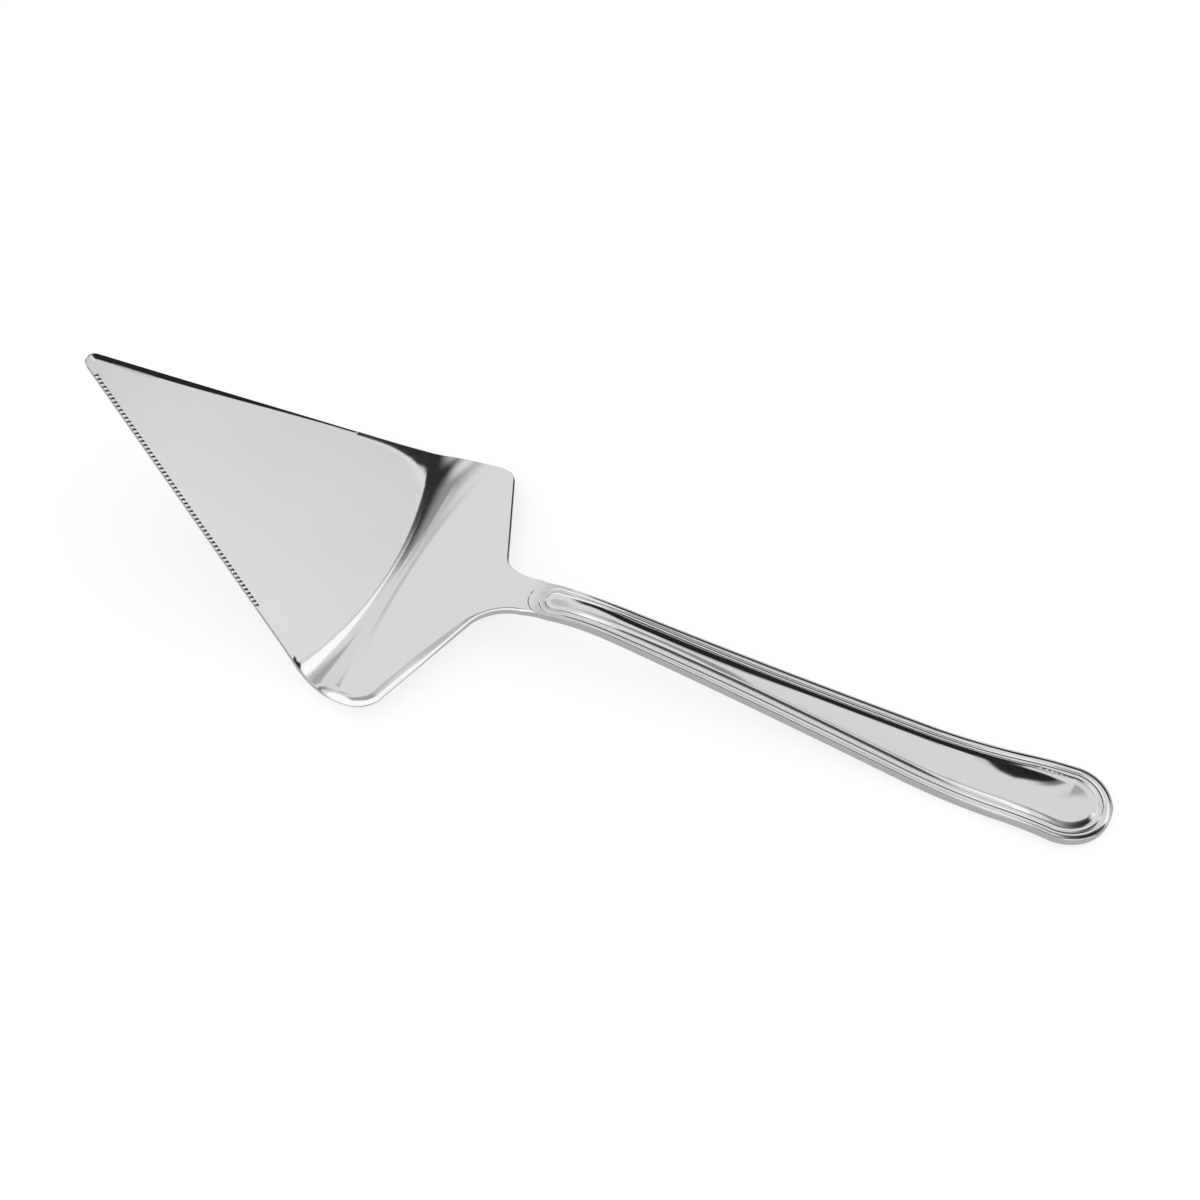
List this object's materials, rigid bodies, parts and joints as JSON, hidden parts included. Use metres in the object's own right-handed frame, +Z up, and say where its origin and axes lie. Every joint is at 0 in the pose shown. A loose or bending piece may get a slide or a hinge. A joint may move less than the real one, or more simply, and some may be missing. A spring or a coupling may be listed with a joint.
{
  "type": "cake server",
  "caption": "Wedge-shaped steel cake server with one serrated edge, a raised shoulder behind a soft bend, and a long bordered handle with a round end.",
  "frame": {"origin": "on the table under the middle of the length, with the server lying on its heel and on the back of its handle", "axes": "+X from the tip to the handle end, +Y to the plain edge, +Z up"},
  "size_m": [0.2525, 0.0794, 0.0423],
  "materials": {
    "blade_steel": "mirror polished sheet",
    "handle_steel": "mirror polished bar"
  },
  "bodies": {
    "root": {"blade": "blade_steel", "handle": "handle_steel"}
  },
  "joints": []
}
